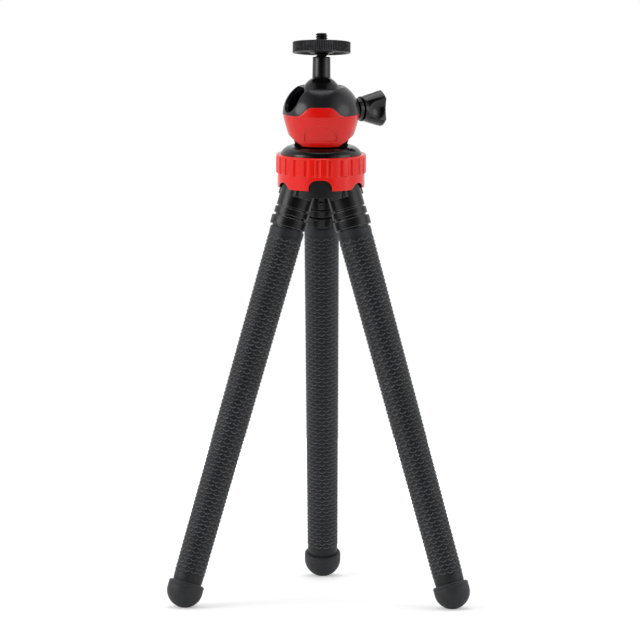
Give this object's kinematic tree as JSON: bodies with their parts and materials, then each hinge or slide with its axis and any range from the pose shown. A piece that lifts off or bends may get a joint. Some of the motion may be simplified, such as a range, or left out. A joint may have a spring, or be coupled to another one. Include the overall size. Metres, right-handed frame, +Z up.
{
  "type": "flexible leg tripod",
  "caption": "Tabletop tripod with bendable rubber-covered legs, a ribbed hub ring and a ball head with a clamp knob and a screw platform.",
  "frame": {"origin": "on the floor, at the middle of the box round the standing tripod", "axes": "+Z up, -Y towards the viewer of the picture, +X to the right; the back leg points to +Y"},
  "size_m": [0.1572, 0.1386, 0.2951],
  "materials": {
    "orange_plastic": "satin bright orange-red",
    "grey_plastic": "satin dark grey",
    "black_plastic": "satin black",
    "black_gloss": "gloss black",
    "black_metal": "black coated metal",
    "white_plastic": "low friction plastic",
    "steel": "zinc plated",
    "soft_aluminium": "annealed rod",
    "pad_rubber": "fine grip",
    "leg_rubber": "matt with scale relief",
    "foot_rubber": "matt"
  },
  "bodies": {
    "hub": {"hub_body": "black_plastic", "hub_screws": "steel", "hinge_pins": "steel", "hub_flange": "black_gloss", "grip_ring": "orange_plastic", "hub_stud": "steel", "swivel_washer": "black_plastic"},
    "head": {"lower_shell": "orange_plastic", "upper_shell": "grey_plastic", "head_core": "black_metal", "shell_screws": "steel", "ball_seat": "white_plastic", "clamp_bush": "black_metal"},
    "shoe": {"pressure_shoe": "white_plastic"},
    "knob": {"clamp_screw": "steel", "clamp_knob": "black_plastic"},
    "ball": {"ball": "black_gloss"},
    "stem": {"stem": "black_gloss", "camera_screw": "steel"},
    "insert": {"disc_insert": "steel"},
    "disc": {"lock_disc": "black_plastic", "disc_pad": "pad_rubber"},
    "left_leg": {"left_collar": "black_plastic", "left_band": "black_plastic", "left_ferrule": "black_plastic", "left_sleeve_1": "leg_rubber", "left_core_1": "soft_aluminium"},
    "left_leg_2": {"left_sleeve_2": "leg_rubber", "left_core_2": "soft_aluminium"},
    "left_leg_3": {"left_sleeve_3": "leg_rubber", "left_core_3": "soft_aluminium"},
    "left_leg_4": {"left_sleeve_4": "leg_rubber", "left_core_4": "soft_aluminium", "left_foot": "foot_rubber"},
    "right_leg": {"right_collar": "black_plastic", "right_band": "black_plastic", "right_ferrule": "black_plastic", "right_sleeve_1": "leg_rubber", "right_core_1": "soft_aluminium"},
    "right_leg_2": {"right_sleeve_2": "leg_rubber", "right_core_2": "soft_aluminium"},
    "right_leg_3": {"right_sleeve_3": "leg_rubber", "right_core_3": "soft_aluminium"},
    "right_leg_4": {"right_sleeve_4": "leg_rubber", "right_core_4": "soft_aluminium", "right_foot": "foot_rubber"},
    "back_leg": {"back_collar": "black_plastic", "back_band": "black_plastic", "back_ferrule": "black_plastic", "back_sleeve_1": "leg_rubber", "back_core_1": "soft_aluminium"},
    "back_leg_2": {"back_sleeve_2": "leg_rubber", "back_core_2": "soft_aluminium"},
    "back_leg_3": {"back_sleeve_3": "leg_rubber", "back_core_3": "soft_aluminium"},
    "back_leg_4": {"back_sleeve_4": "leg_rubber", "back_core_4": "soft_aluminium", "back_foot": "foot_rubber"}
  },
  "joints": [
    {"name": "head_pan", "type": "hinge", "parent": "hub", "child": "head", "pos_m": [0, -0.01999, 0.2376], "axis": [0, 0, 1], "continuous": true},
    {"name": "ball_tilt", "type": "hinge", "parent": "head", "child": "ball", "pos_m": [0, -0.01999, 0.2628], "axis": [0.4924, -0.8529, 0.1735], "range_deg": [-32, 95]},
    {"name": "stem_spin", "type": "hinge", "parent": "ball", "child": "stem", "pos_m": [0, -0.01999, 0.2628], "axis": [0, 0.1994, 0.9799], "continuous": true},
    {"name": "disc_slide", "type": "slide", "parent": "stem", "child": "insert", "axis": [0, -0.1994, -0.9799], "range_m": [-0.00127, 0.00127]},
    {"name": "disc_turn", "type": "hinge", "parent": "insert", "child": "disc", "pos_m": [0, -0.01999, 0.2628], "axis": [0, -0.1994, -0.9799], "range_deg": [-361, 361]},
    {"name": "clamp_slide", "type": "slide", "parent": "head", "child": "shoe", "axis": [0.866, 0.5, 0], "range_m": [0, 0.00079]},
    {"name": "clamp_turn", "type": "hinge", "parent": "shoe", "child": "knob", "pos_m": [0, -0.01999, 0.2546], "axis": [0.866, 0.5, 0], "range_deg": [0, 359]},
    {"name": "left_hinge", "type": "hinge", "parent": "hub", "child": "left_leg", "pos_m": [-0.00996, -0.02574, 0.2198], "axis": [-0.5, 0.866, 0], "range_deg": [-18, 0]},
    {"name": "left_bend_1", "type": "hinge", "parent": "left_leg", "child": "left_leg_2", "pos_m": [-0.02993, -0.03727, 0.14883], "axis": [0.5, -0.866, 0], "range_deg": [-45, 45]},
    {"name": "left_bend_2", "type": "hinge", "parent": "left_leg_2", "child": "left_leg_3", "pos_m": [-0.04268, -0.04463, 0.10354], "axis": [-0.8236, -0.4755, 0.309], "range_deg": [-45, 45]},
    {"name": "left_bend_3", "type": "hinge", "parent": "left_leg_3", "child": "left_leg_4", "pos_m": [-0.05542, -0.05199, 0.05824], "axis": [0.5, -0.866, 0], "range_deg": [-45, 45]},
    {"name": "right_hinge", "type": "hinge", "parent": "hub", "child": "right_leg", "pos_m": [0.00996, -0.02574, 0.2198], "axis": [-0.5, -0.866, 0], "range_deg": [-18, 0]},
    {"name": "right_bend_1", "type": "hinge", "parent": "right_leg", "child": "right_leg_2", "pos_m": [0.02993, -0.03727, 0.14883], "axis": [0.5, 0.866, 0], "range_deg": [-45, 45]},
    {"name": "right_bend_2", "type": "hinge", "parent": "right_leg_2", "child": "right_leg_3", "pos_m": [0.04268, -0.04463, 0.10354], "axis": [0.8236, -0.4755, 0.309], "range_deg": [-45, 45]},
    {"name": "right_bend_3", "type": "hinge", "parent": "right_leg_3", "child": "right_leg_4", "pos_m": [0.05542, -0.05199, 0.05824], "axis": [0.5, 0.866, 0], "range_deg": [-45, 45]},
    {"name": "back_hinge", "type": "hinge", "parent": "hub", "child": "back_leg", "pos_m": [0, -0.00849, 0.2198], "axis": [1, 0, 0], "range_deg": [-18, 0]},
    {"name": "back_bend_1", "type": "hinge", "parent": "back_leg", "child": "back_leg_2", "pos_m": [0, 0.01457, 0.14883], "axis": [-1, 0, 0], "range_deg": [-45, 45]},
    {"name": "back_bend_2", "type": "hinge", "parent": "back_leg_2", "child": "back_leg_3", "pos_m": [0, 0.02928, 0.10354], "axis": [0, 0.9511, 0.309], "range_deg": [-45, 45]},
    {"name": "back_bend_3", "type": "hinge", "parent": "back_leg_3", "child": "back_leg_4", "pos_m": [0, 0.044, 0.05824], "axis": [-1, 0, 0], "range_deg": [-45, 45]}
  ],
  "couplings": [
    {"joint": "disc_turn", "follows": "disc_slide", "rad_per_m": 4947.4},
    {"joint": "clamp_turn", "follows": "clamp_slide", "rad_per_m": 7854}
  ]
}
